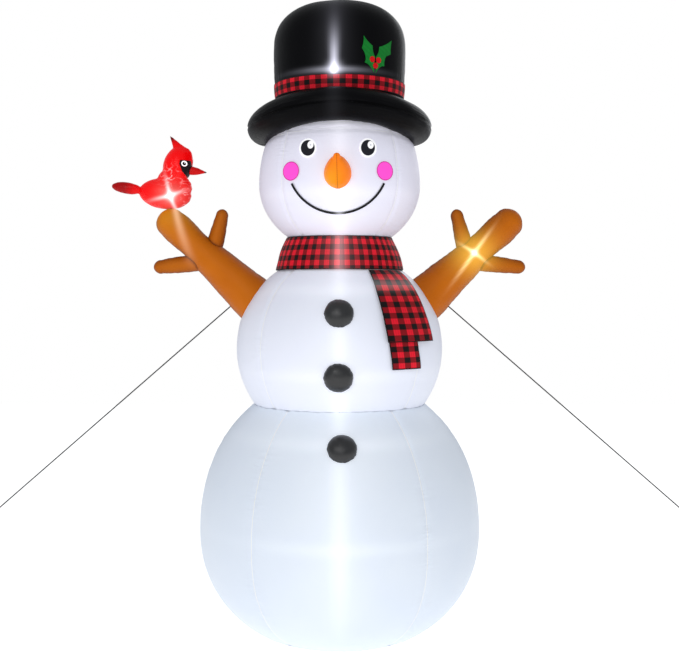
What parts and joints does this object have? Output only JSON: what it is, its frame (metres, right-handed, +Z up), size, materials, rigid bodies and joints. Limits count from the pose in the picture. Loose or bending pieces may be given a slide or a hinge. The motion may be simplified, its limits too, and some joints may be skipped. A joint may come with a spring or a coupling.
{
  "type": "inflatable yard snowman",
  "caption": "Blower-inflated fabric snowman with hat, plaid scarf, branch arms and a red bird, lit inside and tethered by cords.",
  "frame": {"origin": "centre of the round base on the ground", "axes": "+Z up; the face looks along -Y; +X is to the right of a person who looks at the face"},
  "size_m": [2.9986, 1.1462, 2.44],
  "materials": {
    "white_fabric": "smooth polyester weave, softly lit from inside",
    "black_fabric": "smooth polyester weave",
    "plaid_cloth": "printed red and black checks",
    "orange_fabric": "smooth polyester weave",
    "brown_fabric": "smooth polyester weave",
    "red_fabric": "smooth polyester weave",
    "green_fabric": "stitched patch",
    "pink_fabric": "stitched patch",
    "eye_print": "white patch with a printed black oval",
    "black_webbing": "ribbed webbing",
    "housing_plastic": "moulded, fine texture",
    "motor_steel": "plain",
    "ring_steel": "nickel plated",
    "grommet_brass": "rolled eyelet",
    "zipper_tape_cloth": "woven tape",
    "zipper_nylon": "nylon coil",
    "zipper_metal": "die cast",
    "cable_pvc": "flexible sheath",
    "lamp_lens": "frosted lens",
    "tether_cord": "braided polyester cord"
  },
  "bodies": {
    "snowman": {"base_panel": "white_fabric", "bird_beak": "red_fabric", "bird_body": "red_fabric", "bird_crest": "red_fabric", "bird_eyes": "eye_print", "bird_head": "red_fabric", "bird_mask": "black_fabric", "bird_tail": "red_fabric", "blower_cuff": "white_fabric", "blower_housing": "housing_plastic", "button_bottom": "black_fabric", "button_middle": "black_fabric", "button_top": "black_fabric", "cheek_left": "pink_fabric", "cheek_right": "pink_fabric", "cuff_band": "black_webbing", "eye_left": "eye_print", "eye_right": "eye_print", "hat_band": "plaid_cloth", "hat_brim": "black_fabric", "hat_crown": "black_fabric", "head": "white_fabric", "holly_berries": "red_fabric", "holly_leaves": "green_fabric", "intake_grille": "housing_plastic", "led_lead": "cable_pvc", "led_modules": "lamp_lens", "left_arm": "brown_fabric", "left_lower_twig": "brown_fabric", "left_upper_twig": "brown_fabric", "lower_body": "white_fabric", "motor": "motor_steel", "motor_mount": "housing_plastic", "nose": "orange_fabric", "power_inlet": "housing_plastic", "right_arm": "brown_fabric", "right_lower_twig": "brown_fabric", "right_upper_twig": "brown_fabric", "rope_knots_left": "tether_cord", "rope_knots_right": "tether_cord", "scarf_collar": "plaid_cloth", "scarf_tab": "plaid_cloth", "smile_line": "black_fabric", "stake_grommets": "grommet_brass", "stake_tabs": "black_webbing", "tether_patches": "black_webbing", "tether_rings": "ring_steel", "tether_rope_left": "tether_cord", "tether_rope_right": "tether_cord", "torso": "white_fabric", "zipper_coil": "zipper_nylon", "zipper_stops": "zipper_nylon", "zipper_tape": "zipper_tape_cloth"},
    "rotor": {"impeller": "housing_plastic", "motor_shaft": "motor_steel"},
    "zip_slider": {"zipper_slider": "zipper_metal"},
    "zip_pull": {"zipper_pull": "zipper_metal"},
    "scarf_tails": {"scarf_front_tail": "plaid_cloth", "scarf_rear_tail": "plaid_cloth"}
  },
  "joints": [
    {"name": "impeller_spin", "type": "hinge", "parent": "snowman", "child": "rotor", "pos_m": [0, 0.509, 0.235], "axis": [0, 1, 0], "continuous": true},
    {"name": "zipper_run", "type": "hinge", "parent": "snowman", "child": "zip_slider", "pos_m": [0, 0, 0.402], "axis": [0, 0, 1], "range_deg": [0, 36]},
    {"name": "pull_flip", "type": "hinge", "parent": "zip_slider", "child": "zip_pull", "pos_m": [0.17342, 0.53373, 0.402], "axis": [0, 0, 1], "range_deg": [0, 175]},
    {"name": "tails_swing", "type": "hinge", "parent": "snowman", "child": "scarf_tails", "pos_m": [0.1713, -0.19024, 1.384], "axis": [-0.7431, -0.6691, 0], "range_deg": [0, 70]}
  ]
}
